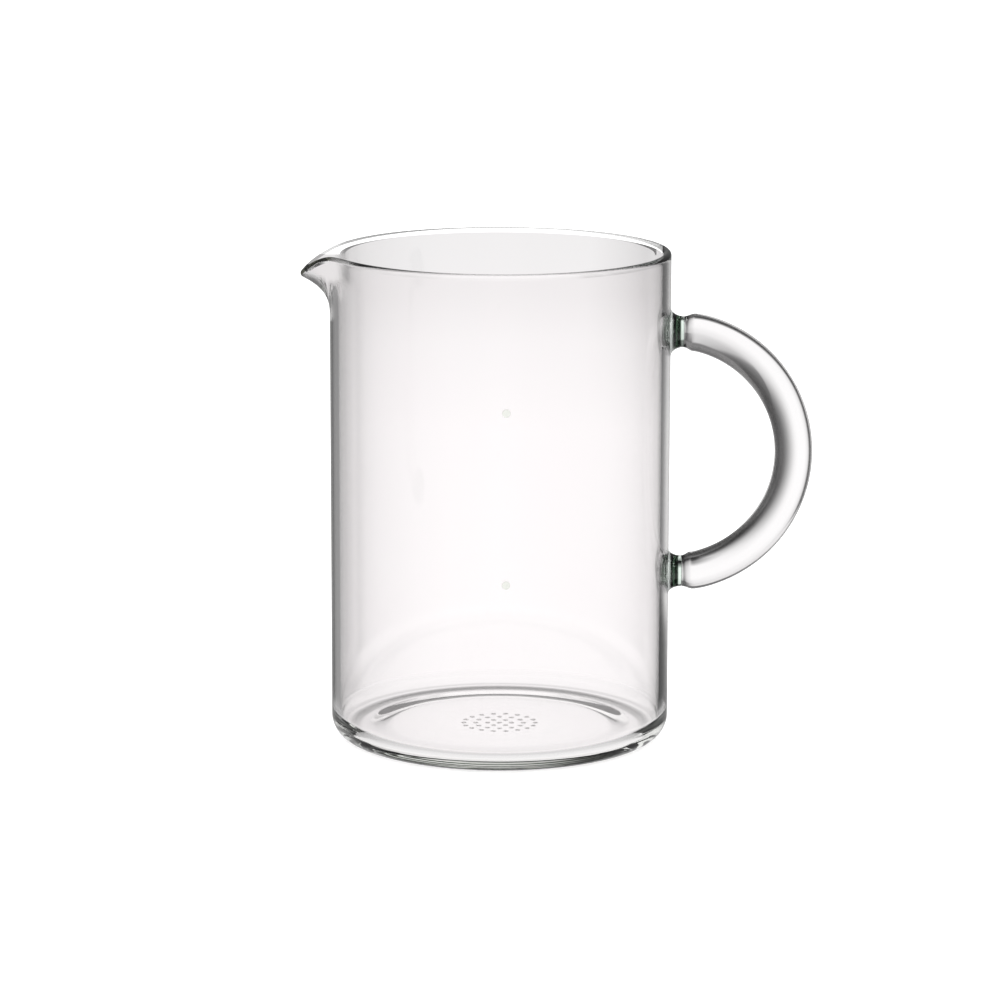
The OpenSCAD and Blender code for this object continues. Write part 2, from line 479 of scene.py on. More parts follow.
def piece_from_tree(name, inputs, shape, material):
    """Runs a node tree with named inputs on an empty mesh and keeps the result as a plain mesh"""
    tree = bpy.data.node_groups.new(name, "GeometryNodeTree")
    tree.interface.new_socket(name="Geometry", in_out="OUTPUT", socket_type="NodeSocketGeometry")
    holder = link(name + "_holder", bpy.data.meshes.new(name + "_holder"))
    modifier = holder.modifiers.new(name, "NODES")
    sockets = []
    for title, value in {**inputs, "Material": material}.items():
        kind = SOCKET_KINDS[type(value)]
        sockets.append(tree.interface.new_socket(name=title, in_out="INPUT", socket_type=kind))
        sockets[-1].default_value = value
    t = Tree(tree)
    given = t.add("NodeGroupInput").outputs
    real = t.out("GeometryNodeRealizeInstances", {"Geometry": shape(t, given)})
    painted = t.out("GeometryNodeSetMaterial", {"Geometry": real, "Material": given["Material"]})
    t.add("NodeGroupOutput", {0: painted})
    modifier.node_group = tree
    for socket in sockets:
        modifier[socket.identifier] = socket.default_value
    seen = holder.evaluated_get(bpy.context.evaluated_depsgraph_get())
    mesh = bpy.data.meshes.new_from_object(seen)
    mesh.name = name
    holder.modifiers.remove(modifier)
    bpy.data.objects.remove(holder)
    finish_mesh(mesh, material)
    # Smooth sides and flat ends
    for face in mesh.polygons:
        face.use_smooth = len(face.vertices) == 4
    return link(name, mesh)


# Steps along the rod, points around it, and the softness with which a neck turns level
ROD_STEPS, ROD_AROUND = 200, 72
NECK_SOFTNESS = 1.0 * MM


def rod_inputs(s):
    return {
        "Wall Radius": BODY_R,
        "Bend Radius": s.bend_radius,
        "Bend Height": s.bend_height,
        "Rod Radius": s.rod_radius,
        "Neck Radius": s.neck_radius,
        "Neck Distance": s.neck_distance + s.seam,
        "Neck Rise": s.neck_rise,
        "Shoulder Length": s.shoulder,
    }


def bent_rod(t, given):
    """Sweeps a round section along the bent rod, thinner at both necks"""
    line = t.out("GeometryNodeMeshLine", {"Count": ROD_STEPS + 1})
    share = t.over(t.out("GeometryNodeInputIndex"), float(ROD_STEPS))
    start = t.calc("ARCSINE", t.over(given["Neck Distance"], given["Bend Radius"]))
    span = t.minus(math.pi, t.times(start, 2.0))
    turn = t.times_plus(share, span, start)
    across = t.times_plus(given["Bend Radius"], t.calc("SINE", turn), given["Wall Radius"])
    rise = t.times(given["Bend Radius"], t.calc("COSINE", turn))
    held = t.calc("SMOOTH_MIN", t.calc("ABSOLUTE", rise), given["Neck Rise"], NECK_SOFTNESS)
    height = t.times_plus(held, t.calc("SIGN", rise), given["Bend Height"])
    place = t.out("ShaderNodeCombineXYZ", {"X": across, "Z": height})
    moved = t.out("GeometryNodeSetPosition", {"Geometry": line, "Position": place})
    along = t.times(t.least(share, t.minus(1.0, share)), span, given["Bend Radius"])
    radius = t.out("ShaderNodeMapRange", {
        "Value": along,
        "From Max": given["Shoulder Length"],
        "To Min": given["Neck Radius"],
        "To Max": given["Rod Radius"],
    }, interpolation_type="SMOOTHSTEP")
    return t.out("GeometryNodeCurveToMesh", {
        "Curve": t.out("GeometryNodeMeshToCurve", {"Mesh": moved}),
        "Profile Curve": t.out("GeometryNodeCurvePrimitiveCircle", {"Resolution": ROD_AROUND, "Radius": 1.0}),
        "Scale": radius,
        "Fill Caps": True,
    })


DOT_AROUND = 24


def dot_inputs(s):
    return {
        "Dot Radius": s.dot_radius,
        "Dot Thickness": DOT_THICKNESS,
        "Dot Pitch": s.dot_pitch,
        "Dot Count": 1 + 3 * s.dot_rings * (s.dot_rings + 1),
        "Roof Height": RECESS_DEPTH,
    }


def ringed_dots(t, given):
    """Lays a round dot at every place of a plain pattern of rings"""
    index = t.out("GeometryNodeInputIndex")
    # A ring holds six dots more than the one inside it, so dots 1 to 6 are on ring 1 and 7 to 18 on ring 2.
    # At a ring's last dot the root is 6 times the ring's number plus 3, so a hair more than 3 is taken off.
    root = t.calc("SQRT", t.times_plus(index, 12.0, 9.0))
    ring = t.calc("CEIL", t.over(t.minus(root, 3.001), 6.0))
    first = t.times_plus(t.times(ring, t.minus(ring, 1.0)), 3.0, 1.0)
    turn = t.times(t.minus(index, first), t.over(math.pi / 3, t.most(ring, 1.0)))
    reach = t.times(ring, given["Dot Pitch"])
    place = t.out("ShaderNodeCombineXYZ", {
        "X": t.times(reach, t.calc("COSINE", turn)),
        "Y": t.times(reach, t.calc("SINE", turn)),
        "Z": t.times_plus(given["Dot Thickness"], -0.5, given["Roof Height"]),
    })
    dot = t.add("GeometryNodeMeshCylinder", {
        "Vertices": DOT_AROUND, "Radius": given["Dot Radius"], "Depth": given["Dot Thickness"],
    })
    points = t.out("GeometryNodePoints", {"Count": given["Dot Count"], "Position": place})
    return t.out("GeometryNodeInstanceOnPoints", {"Points": points, "Instance": dot.outputs["Mesh"]})


# Ripples per metre, their height, and how rough the haze gets: of the vessel, the rod and a weld
VESSEL_WAVES = (22.0, 0.006 * MM, 0.012)
ROD_WAVES = (40.0, 0.01 * MM, 0.03)
WELD_WAVES = (120.0, 0.03 * MM, 0.02)
# Smears of haze per metre, and the range of the noise over which they set in
HAZE_SCALE, HAZE_RANGE = 60.0, (0.45, 0.75)


def glass_material(name, ior, tint, density, waves, looks):
    """Glass with a volume tint and soft ripples

    Its looks are its tone, the share of light that goes straight through, and where it bends no light.
    """
    material, t = bare_material(name)
    here = t.place()
    tone, clear, thin = looks(t, here)
    ripples, height, haze = waves
    glass = t.add("ShaderNodeBsdfPrincipled", {
        "Base Color": tone,
        "Roughness": t.between(t.noise(here, HAZE_SCALE, 4.0), *HAZE_RANGE, 0.0, haze),
        "IOR": ior,
        "Transmission Weight": 1.0,
        "Alpha": t.minus(1.0, clear),
        "Normal": t.bump(t.noise(here, ripples, 2.0), 1.0, height),
    })
    if thin is not None:
        t.feed(glass.inputs["IOR"], t.between(thin, 0.0, 1.0, ior, 1.0))
    depth = t.out("ShaderNodeVolumeAbsorption", {"Color": (*tint, 1.0), "Density": density})
    t.surface(glass.outputs[0], Volume=depth)
    return material


def fused_vessel(t, x, y, z):
    """1 on the outside of the wall under both welds"""
    outside = t.is_more(t.distance(x, y), (BODY_R + HOLLOW_R) / 2)
    feet = []
    for box in ((UPPER_WELD_LOW, UPPER_WELD_HIGH), (LOWER_WELD_LOW, LOWER_WELD_HIGH)):
        middle, radius = round_patch(*box)
        feet.append(t.is_less(t.distance(y, t.minus(z, middle)), radius))
    return t.times(outside, t.is_more(x, 0.0), t.plus(*feet))


# How near to a fused face glass lets light straight through, and how near to it at a weld's end
FUSED, FUSED_END = 0.03 * MM, 0.01 * MM
# Distances from the wall between which the flank of a weld's foot turns from half clear to plain glass
WELD_FLANK = (BODY_R + 0.5 * MM, BODY_R + 0.8 * MM)


def fused_weld(t, x, y):
    """1 on a weld's foot and on its end at the neck, less on the flank of the foot"""
    foot = t.is_less(t.distance(x, y), BODY_R + FUSED)
    end = t.is_more(x, NECK_X - FUSED_END)
    return t.most(t.between(x, *WELD_FLANK, 0.5, 0.0), foot, end)


# Places across the lip between which its clear glass fades out
LIP_CLEAR_ACROSS = (-42.5 * MM, -46.5 * MM)
# Heights below the rim between which it fades out at the first of those places, and the tilt of that fade
LIP_CLEAR_DROP, LIP_CLEAR_TILT = (11.5 * MM, 9 * MM), 0.3
# Grains of that fade per metre, and the range of their noise
FADE_GRAIN, GRAIN_RANGE = 9000.0, (0.25, 0.75)
# Depth of the clear edge of the rim at the back, and the place across the vessel where it ends
BACK_RIM_DROP, BACK_RIM_END = 1.3 * MM, 45.5 * MM
# Depth of the partly clear edge of the rim at the front
FRONT_RIM_DROP = 1.6 * MM
# Degrees from the tip along the rim, and how much light goes straight through it at the front
FRONT_RIM_CLEAR = [(0, 0.0), (35, 0.0), (90, 0.3), (140, 0.2), (180, 0.0)]
# The same, and how dark the painted shade line along the front of the rim is
RIM_PAINTED_SHADE = [(0, 1.0), (14, 1.0), (18, 0.9), (30, 0.6), (60, 0.25), (90, 0.0), (180, 0.0)]
# The same, and how deep below the edge that line reaches, in millimetres
RIM_DEPTH = [(0, 2.2), (4, 1.6), (8, 1.1), (16, 0.9), (30, 0.6), (60, 0.45), (180, 0.45)]
# How far out from the middle of the rounded rim that line reaches, as a share of the rim's radius
RIM_LINE_ROUND = 1.15
# Shares of those two reaches between which the line fades out, and where its glass stops bending the light
RIM_LINE_EDGE, RIM_LINE_THICK = (1.1, 0.9), 1.15
# How far behind the tip the line ends, and how far behind it its glass still bends the light
RIM_LINE_BACK, RIM_THICK_BACK = 3 * MM, 2 * MM
# Degrees from the tip, and how deep the thin painted shade line along the rim at the back reaches, in
# millimetres
BACK_LINE_DEPTH = [(0, 0.25), (15, 0.25), (25, 0.4), (45, 0.35), (70, 0.25), (110, 0.25), (140, 0.5),
                   (165, 0.9), (180, 1.0)]
# How dark that line is, how far to the front and to the back it fades in, and shares of its depth between
# which it fades out
BACK_LINE_PAINTED_SHADE, BACK_LINE_FADE, BACK_LINE_EDGE = 0.7, 2 * MM, (1.2, 0.8)


def bell(t, turn, half):
    """1 at the tip and half of that at an angle from it"""
    return t.over(1.0, t.plus(t.calc("POWER", t.over(turn, half), 2.0), 1.0))


def rim_places(t, x, y, z, s):
    """Where a place on the vessel is seen from the front, and how it lies to the rim"""
    # Where the line of sight from the front through a place crosses the upright plane through the axis
    nearer = t.over(FRONT_DISTANCE, t.plus(y, FRONT_DISTANCE))
    across = t.times(x, nearer)
    up = t.times_plus(t.minus(z, FRONT_HEIGHT), nearer, FRONT_HEIGHT)
    rim_r = (s.radius - s.hollow_radius) / 2
    turn = t.calc("ARCTAN2", t.calc("ABSOLUTE", y), t.times(x, -1.0))
    from_tip = t.calc("DEGREES", turn)
    below = t.minus(s.height, z, t.times(bell(t, turn, s.dip_angle), s.lip_dip))
    middle = t.times_plus(bell(t, turn, s.beak_angle), s.lip_reach, s.radius - rim_r)
    from_middle = t.distance(t.minus(t.distance(x, y), middle), t.minus(below, rim_r))
    line = t.times(t.along_deep(from_tip, RIM_DEPTH), MM)
    back_depth = t.times(t.along(from_tip, BACK_LINE_DEPTH), MM)
    return SimpleNamespace(
        across=across, up=up, from_tip=from_tip, below=below,
        # Below 1 in what the painted dark line along the front of the rim holds
        in_line=t.most(t.over(below, line), t.over(from_middle, RIM_LINE_ROUND * rim_r)),
        # The thin painted shade line along the very edge of the rim at the back
        painted_back_line=t.times(t.between(y, -BACK_LINE_FADE, BACK_LINE_FADE, 0.0, BACK_LINE_PAINTED_SHADE),
                          t.between(t.over(below, back_depth), *BACK_LINE_EDGE)),
    )


def clear_spout(t, rim, s):
    """1 on the clear glass of the lip, with a finely grained fade that is alike on both faces of a wall"""
    slanted = t.times_plus(t.minus(rim.across, LIP_CLEAR_ACROSS[0]), LIP_CLEAR_TILT, rim.up)
    heights = [s.height - drop for drop in LIP_CLEAR_DROP]
    fade = t.times(t.between(rim.across, *LIP_CLEAR_ACROSS), t.between(slanted, *heights))
    place = t.out("ShaderNodeCombineXYZ", {0: rim.across, 1: rim.up})
    grain = t.noise(place, FADE_GRAIN, 0.0)
    return t.is_more(fade, t.between(grain, *GRAIN_RANGE, 0.01, 0.99))


def clear_back_rim(t, x, y, up, s):
    """1 on the edge of the rim at the back, down to a line along its inside"""
    inside = t.calc("SQRT", t.most(t.minus(s.hollow_radius ** 2, t.times(x, x)), 0.0))
    nearer = t.over(FRONT_DISTANCE, t.plus(inside, FRONT_DISTANCE))
    edge = t.times_plus(nearer, s.height - BACK_RIM_DROP - FRONT_HEIGHT, FRONT_HEIGHT)
    return t.times(t.is_more(y, 0.0), t.is_more(up, edge), t.is_less(x, BACK_RIM_END))


def vessel_looks(t, here, s):
    """Painted shade along the front edge of the rim and in a thin line at its back, clear along its back
    edge, and thin where the lip is drawn out
    """
    x, y, z = t.split(here)
    rim = rim_places(t, x, y, z, s)
    back = t.least(clear_back_rim(t, x, y, rim.up, s), t.minus(1.0, rim.painted_back_line))
    front = t.times(t.is_less(y, 0.0), t.is_less(rim.below, FRONT_RIM_DROP),
                    t.along(rim.from_tip, FRONT_RIM_CLEAR))
    clear = t.most(fused_vessel(t, x, y, z), back, front)
    # The drawn glass of the lip is too thin to bend the light, apart from the line of the rim
    on_line = t.times(t.is_less(y, RIM_THICK_BACK), t.is_less(rim.in_line, RIM_LINE_THICK))
    thin = t.times(clear_spout(t, rim, s), t.minus(1.0, on_line))
    # Painted shade: a dark line along the front of the rim, mixed into the glass colour
    dark = t.times(t.between(y, RIM_LINE_BACK, 0.0), t.between(rim.in_line, *RIM_LINE_EDGE),
                   t.along(rim.from_tip, RIM_PAINTED_SHADE))
    # The glass colour: painted shade on both rim lines, the clear tone elsewhere
    return clear_tone(t, here, t.minus(1.0, t.most(dark, rim.painted_back_line))), clear, thin


# Clear glass is almost white, a little uneven, with the faintest lilac, and a dark olive where shade is
# painted on it
CLEAR_TONES = ((1.0, 0.976, 0.983, 1.0), (1.0, 0.987, 0.990, 1.0))
PAINTED_SHADE_TONE = (0.005, 0.0055, 0.003, 1.0)
CLOUDS = 30.0


def clear_tone(t, here, light=1.0):
    # Light below 1 mixes in the dark olive tone as painted shade
    return t.blend(light, PAINTED_SHADE_TONE, t.blend(t.noise(here, CLOUDS, 2.0), *CLEAR_TONES))


def rod_looks(t, here):
    """Clear glass, fused at the flat ends of the necks"""
    return clear_tone(t, here), t.is_less(t.split(here)[0], NECK_X + FUSED), None


# Distance from the wall along a weld, and how light the painted shade leaves its glass there
WELD_PAINTED_LIGHT = [(0.0, 1.0), (0.0006, 1.0), (0.0009, 0.0), (0.0023, 0.0), (0.0027, 1.0), (0.0036, 1.0)]
# The tone of the painted shade and the light tone of a weld
WELD_PAINTED_TONES = ((0.004, 0.012, 0.005, 1.0), (0.95, 1.0, 0.96, 1.0))
# Painted glints per metre, the range of the noise over which they set in, and how light they get
PAINTED_GLINTS, GLINT_RANGE, GLINT_LIGHT = 900.0, (0.61, 0.76), 0.35


def weld_looks(t, here):
    """Painted shade in a dark green waist, with painted glints, between clear glass on either side"""
    x, y, _ = t.split(here)
    painted_waist_shade = t.along(t.minus(x, BODY_R), WELD_PAINTED_LIGHT)
    painted_glints = t.between(t.noise(here, PAINTED_GLINTS, 1.0), *GLINT_RANGE, 0.0, GLINT_LIGHT)
    return t.blend(t.most(painted_waist_shade, painted_glints), *WELD_PAINTED_TONES), fused_weld(t, x, y), None


# How dark the enamel's darkest grains are, how deep the grain is and the range of its roughness
GRAIN_DARK, GRAIN_DEPTH, ENAMEL_ROUGH = 0.88, 0.02 * MM, (0.4, 0.65)
# Grains per metre of the level marks and of the base dots
LEVEL_GRAIN, BASE_GRAIN = 1500.0, 900.0


def enamel_material(name, paint, grains):
    """Fired enamel: a little uneven in tone, matt, with a fine grain"""
    material, t = bare_material(name)
    grain = t.noise(t.place(), grains, 3.0)
    darker = [GRAIN_DARK * part for part in paint]
    t.surface(t.out("ShaderNodeBsdfPrincipled", {
        "Base Color": t.blend(grain, (*darker, 1.0), (*paint, 1.0)),
        "Roughness": t.between(grain, 0.0, 1.0, *ENAMEL_ROUGH),
        "Normal": t.bump(grain, 0.4, GRAIN_DEPTH),
    }))
    return material


def stands_for(piece, node):
    piece.visible_shadow = False
    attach(piece, "root")
    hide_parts(node)


class ServerOperator(bpy.types.Operator):
    """What the operators of this panel share"""
    bl_options = {"REGISTER", "UNDO"}


class SERVER_OT_vessel(ServerOperator):
    """Builds the blown vessel with its foot ring, rim and pouring lip"""
    bl_idname = "coffee_server.vessel"
    bl_label = "Vessel"

    def execute(self, context):
        finish = context.scene.server_finish
        sizes = context.scene.server_vessel
        material = glass_material("vessel_clear_glass", finish.ior, finish.tint, finish.tint_density,
                                  VESSEL_WAVES, lambda t, here: vessel_looks(t, here, sizes))
        stands_for(vessel_piece(sizes, material), "vessel")
        return {"FINISHED"}


class SERVER_OT_handle(ServerOperator):
    """Sweeps the bent glass rod with its two necks"""
    bl_idname = "coffee_server.handle"
    bl_label = "Handle"

    def execute(self, context):
        finish = context.scene.server_finish
        material = glass_material("rod_clear_glass", finish.ior, finish.rod_tint, finish.rod_density,
                                  ROD_WAVES, rod_looks)
        inputs = rod_inputs(context.scene.server_handle)
        piece = piece_from_tree("handle_rod", inputs, bent_rod, material)
        stands_for(piece, "handle")
        return {"FINISHED"}


class SERVER_OT_welds(ServerOperator):
    """Builds the two welds between the wall and the handle"""
    bl_idname = "coffee_server.welds"
    bl_label = "Welds"

    def execute(self, context):
        finish = context.scene.server_finish
        material = glass_material("weld_glass_painted_shade", finish.ior, finish.weld_tint, finish.weld_density,
                                  WELD_WAVES, weld_looks)
        for node in ("upper_weld", "lower_weld"):
            low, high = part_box(node)
            piece = weld_piece(node + "_glass", low, high, context.scene.server_handle, material)
            stands_for(piece, node)
        return {"FINISHED"}


class SERVER_OT_level_marks(ServerOperator):
    """Lays the two printed level marks on the wall"""
    bl_idname = "coffee_server.level_marks"
    bl_label = "Level marks"

    def execute(self, context):
        material = enamel_material("level_enamel_grey", context.scene.server_finish.enamel, LEVEL_GRAIN)
        for node in ("upper_level_mark", "lower_level_mark"):
            low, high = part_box(node)
            piece = level_mark_piece(node + "_enamel", low, high, material)
            stands_for(piece, node)
        return {"FINISHED"}


class SERVER_OT_base_dots(ServerOperator):
    """Lays the plain pattern of dots under the base"""
    bl_idname = "coffee_server.base_dots"
    bl_label = "Base dots"

    def execute(self, context):
        finish = context.scene.server_finish
        paint = [finish.base_tone * part for part in finish.enamel]
        material = enamel_material("base_enamel_grey", paint, BASE_GRAIN)
        inputs = dot_inputs(context.scene.server_marks)
        piece = piece_from_tree("base_dots_enamel", inputs, ringed_dots, material)
        stands_for(piece, "base_mark")
        return {"FINISHED"}


# Degrees from the view's direction, and how bright the room is there seen through the glass
ROOM_BY_TURN = [(0, 1.0), (4, 1.0), (7, 0.85), (9, 0.7), (13, 0.45), (18, 0.2), (26, 0.1), (34, 0.06),
                (41, 0.5), (48, 0.35), (54, 0.08), (73, 0.08), (82, 0.7), (98, 0.7), (110, 0.2), (125, 0.2),
                (132, 0.8), (140, 0.8), (150, 0.5), (165, 0.9), (180, 0.95)]
# The same, mirrored in the glass
ROOM_MIRRORED = [(0, 0.6), (10, 0.4), (30, 0.3), (60, 0.4), (100, 0.7), (180, 0.9)]
# Degrees above level, and how bright the room is there
ROOM_BY_RISE = [(-90, 1.0), (-78, 1.0), (-71, 0.12), (-53, 0.08), (-46, 0.5), (-41, 0.95), (-16, 1.06),
                (-13, 1.03), (-10.5, 0.97), (-8, 0.86), (-5, 0.7), (0, 0.5), (10, 0.42), (20, 0.3),
                (36, 0.18), (60, 0.2), (90, 0.5)]
# Degrees above level, and how much the brightness depends on the turn there
ROOM_TURN_SHARE = [(-90, 0.0), (-32, 0.0), (-18, 1.0), (5, 1.0), (20, 0.3), (35, 0.0), (90, 0.0)]
# How bright the room is where it doesn't
ROOM_EVEN = 0.85
# Degrees to the side and down to the middle of the room's dark corners
DARK_CORNER = (48, 42)
# Degrees from that middle between which a dark corner sets in, and how bright it is
DARK_CORNER_SPAN, DARK_CORNER_LIGHT = (18, 9), 0.5


class SERVER_OT_room(ServerOperator):
    """Lights the room: even white for the floor and the background, shaded for what the glass shows"""
    bl_idname = "coffee_server.room"
    bl_label = "Room"

    def execute(self, context):
        world = bpy.data.worlds.new("studio_room")
        context.scene.world = world
        # The floor's light comes straight from the room, so nothing but the glass itself shades it
        world.cycles.sampling_method = "NONE"
        t = bare_tree(world)
        x, y, z = t.split(t.add("ShaderNodeTexCoord").outputs["Generated"])
        rays = t.add("ShaderNodeLightPath").outputs
        turn = t.calc("DEGREES", t.calc("ARCTAN2", t.calc("ABSOLUTE", x), y))
        rise = t.calc("DEGREES", t.calc("ARCSINE", z))
        by_turn = t.mix(rays["Is Glossy Ray"], t.along(turn, ROOM_BY_TURN), t.along(turn, ROOM_MIRRORED))
        side = t.times_plus(t.along(rise, ROOM_TURN_SHARE), t.minus(by_turn, ROOM_EVEN), ROOM_EVEN)
        shaded = t.times(side, t.along(rise, ROOM_BY_RISE), self.dark_corner(t, x, y, z))
        seen = rays["Is Camera Ray"]
        from_floor = t.least(rays["Diffuse Depth"], 1.0)
        strength = t.times_plus(from_floor, context.scene.server_studio.floor_light, seen)
        strength = t.times_plus(t.minus(1.0, t.most(seen, from_floor)), shaded, strength)
        light = t.out("ShaderNodeBackground", {"Color": (1.0, 1.0, 1.0, 1.0), "Strength": strength})
        t.add("ShaderNodeOutputWorld", {"Surface": light})
        return {"FINISHED"}

    def dark_corner(self, t, x, y, z):
        """How bright the room is around its dark corners, low down and half to the side"""
        turn, drop = (math.radians(a) for a in DARK_CORNER)
        middle = (math.sin(turn) * math.cos(drop), math.cos(turn) * math.cos(drop), -math.sin(drop))
        nearness = t.plus(*(t.times(a, b) for a, b in zip((t.calc("ABSOLUTE", x), y, z), middle)))
        span = [math.cos(math.radians(a)) for a in DARK_CORNER_SPAN]
        return t.between(nearness, *span, 1.0, DARK_CORNER_LIGHT)


# Place across the back card in metres, from lip to handle, and how bright it is there behind the vessel
CARD_SIDE = [(-0.105, 0.35), (-0.090, 0.45), (-0.080, 0.55), (-0.068, 0.68), (-0.056, 0.88), (-0.047, 0.93),
             (-0.038, 0.95), (-0.029, 0.98), (-0.018, 1.0), (0.068, 1.0), (0.079, 0.94), (0.088, 0.8),
             (0.093, 0.55), (0.098, 0.35), (0.105, 0.25), (0.125, 0.15), (0.168, 0.1)]
# The same behind the rod of the handle
ROD_CARD_SIDE = [(-0.105, 0.05), (-0.045, 0.06), (-0.037, 0.1), (-0.030, 0.2), (-0.020, 0.55), (-0.006, 0.8),
                 (0.014, 0.93), (0.030, 1.0), (0.068, 1.0), (0.079, 0.94), (0.089, 0.82), (0.096, 0.69),
                 (0.105, 0.54), (0.114, 0.39), (0.125, 0.25), (0.136, 0.18), (0.168, 0.12)]
# Height on the back card in metres, and how bright it is there
CARD_LIGHT = [(-0.085, 1.0), (0.060, 1.0), (0.073, 0.975), (0.088, 0.95), (0.096, 0.915), (0.104, 0.88),
              (0.112, 0.87), (0.123, 0.86), (0.15, 0.86)]
# Height on the back card in metres, and how bright its low part is there, from the bottom up
CARD_LOW = [(-0.085, 0.04), (-0.056, 0.15), (-0.045, 0.35), (-0.032, 0.66), (-0.021, 0.75), (-0.010, 0.9),
            (0.0, 1.0)]
# Height above which the rod and the back wall look alike against the card
ROD_CARD_TOP = 0.095
# Width in metres over which the card's edges fade away
CARD_FADE = 0.012
# Place across the card in metres where its top starts to dim more and where it dims most, and how strongly
CARD_CORNER = (0.03, 0.08, 1.0, 3.5)
# Place across the card behind the rod, from one to the other, and how strongly its low part dims at both
LOW_ROD = (0.065, 0.085, 4.0, 1.0)
# The same behind the vessel
LOW_WALL = (0.050, 0.100, 0.0, 0.3)
# A ray has gone through two faces of glass in the rod, and through four in the vessel
FACES_BETWEEN = 3.0
# How much narrower than high the shade behind the handle is
SHADE_NARROW = 1.12
# Width of the strip beside the wall over which the shade sets in
SHADE_START = 8 * MM
# Distance from the middle of the shade behind the handle in metres, and how much light it lets through
SHADE_LIGHT = [(0.0, 1.0), (0.048, 1.0), (0.056, 0.3), (0.062, 0.12), (0.095, 0.1), (0.110, 1.0)]
# Height above the middle of the shade in metres where it starts to end, and where it has ended
SHADE_TOP = (0.02, 0.04)
# Distance from the axis in metres, and how bright the glowing table's top is there under the glass, at the
# back; the dark ring under the foot ring is a painted shadow
TABLE_BACK = [(0.0, 0.93), (0.036, 0.86), (0.0392, 0.85), (0.0402, 0.25), (0.0425, 0.12), (0.0445, 0.6),
              (0.0458, 0.95), (0.0475, 0.75), (0.0485, 0.8), (0.050, 1.0), (0.068, 1.0)]
# The same at the front, with a lighter painted shadow under the foot ring
TABLE_FRONT = [(0.0, 0.93), (0.036, 0.86), (0.040, 0.93), (0.0425, 0.85), (0.0442, 0.68), (0.0475, 0.7),
               (0.049, 1.0), (0.068, 1.0)]
# Half width of the strip in metres where the front goes over into the back
TABLE_MIDDLE = 0.012
# Distance from the axis in metres where the bright top of the table starts to end, and its height
TABLE_EDGE, TABLE_Z = 0.058, -0.3 * MM


def flat_sheet(name, low, high, place, material):
    """A sheet of the stage from a low to a high corner; place turns its two coordinates into three"""
    mesh = bpy.data.meshes.new(name)
    corners = [low, (high[0], low[1]), high, (low[0], high[1])]
    mesh.from_pydata([place(*corner) for corner in corners], [], [(0, 1, 2, 3)])
    mesh.materials.append(material)
    sheet = link(name, mesh)
    return sheet


